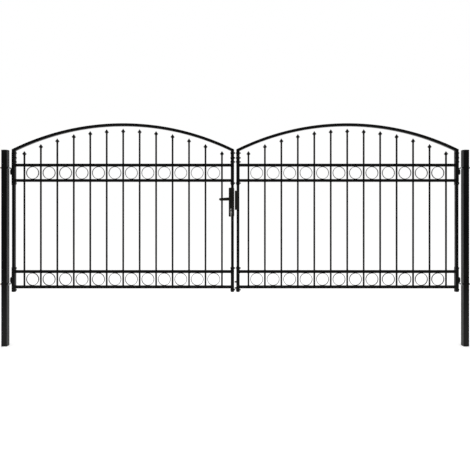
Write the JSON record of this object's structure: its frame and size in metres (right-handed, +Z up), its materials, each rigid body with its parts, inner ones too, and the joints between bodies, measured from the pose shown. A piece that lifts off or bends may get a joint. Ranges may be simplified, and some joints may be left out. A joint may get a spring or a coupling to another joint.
{
  "type": "double-leaf garden gate with posts",
  "caption": "Arched double-leaf steel garden gate with ring bands, spear-topped bars, square posts, bent hinge bolts and a lever lock.",
  "frame": {"origin": "centre of the left post's foot, on its lower end face", "axes": "+X along the gate from the left post to the right post, +Y from the front to the back, +Z up"},
  "size_m": [4.2248, 0.119, 1.9848],
  "materials": {
    "black_powder_coat": "satin black powder coat",
    "zinc_plated_steel": "bright zinc plating",
    "nickel_plated_steel": "satin nickel plating",
    "black_plastic": "matt moulded plastic"
  },
  "bodies": {
    "posts": {"left_post": "black_powder_coat", "right_post": "black_powder_coat", "left_post_cap": "black_plastic", "right_post_cap": "black_plastic", "left_upper_hinge_bolt": "zinc_plated_steel", "left_lower_hinge_bolt": "zinc_plated_steel", "right_upper_hinge_bolt": "zinc_plated_steel", "right_lower_hinge_bolt": "zinc_plated_steel", "left_hinge_nuts": "zinc_plated_steel", "right_hinge_nuts": "zinc_plated_steel"},
    "left_leaf": {"left_hinge_stile": "black_powder_coat", "left_meeting_stile": "black_powder_coat", "left_sleeves": "black_powder_coat", "left_foot_plugs": "black_plastic", "left_arch": "black_powder_coat", "left_upper_rails": "black_powder_coat", "left_lower_rails": "black_powder_coat", "left_bars": "black_powder_coat", "left_spears": "black_powder_coat", "left_upper_rings": "black_powder_coat", "left_lower_rings": "black_powder_coat", "left_hinge_eyes": "black_powder_coat", "lock_case": "black_powder_coat", "front_lock_plate": "black_powder_coat", "back_lock_plate": "black_powder_coat", "lock_strip": "nickel_plated_steel", "lock_bolts": "nickel_plated_steel", "key_cylinder": "nickel_plated_steel"},
    "right_leaf": {"right_hinge_stile": "black_powder_coat", "right_meeting_stile": "black_powder_coat", "right_sleeves": "black_powder_coat", "right_foot_plugs": "black_plastic", "right_arch": "black_powder_coat", "right_upper_rails": "black_powder_coat", "right_lower_rails": "black_powder_coat", "right_bars": "black_powder_coat", "right_spears": "black_powder_coat", "right_upper_rings": "black_powder_coat", "right_lower_rings": "black_powder_coat", "right_hinge_eyes": "black_powder_coat", "keeper": "black_powder_coat", "rod_guides": "black_powder_coat"},
    "lever": {"front_lever": "black_powder_coat", "back_lever": "black_powder_coat", "lever_spindle": "zinc_plated_steel"}
  },
  "joints": [
    {"name": "left_leaf_swing", "type": "hinge", "parent": "posts", "child": "left_leaf", "pos_m": [0.052, 0, 1.07], "axis": [0, 0, 1], "range_deg": [0, 95]},
    {"name": "right_leaf_swing", "type": "hinge", "parent": "posts", "child": "right_leaf", "pos_m": [4.0528, 0, 1.07], "axis": [0, 0, -1], "range_deg": [0, 95]},
    {"name": "lever_turn", "type": "hinge", "parent": "left_leaf", "child": "lever", "pos_m": [2.01385, 0, 1.3115], "axis": [0, -1, 0], "range_deg": [0, 45], "stiffness_Nm_per_rad": 0.8, "springref_deg": -34.38}
  ]
}
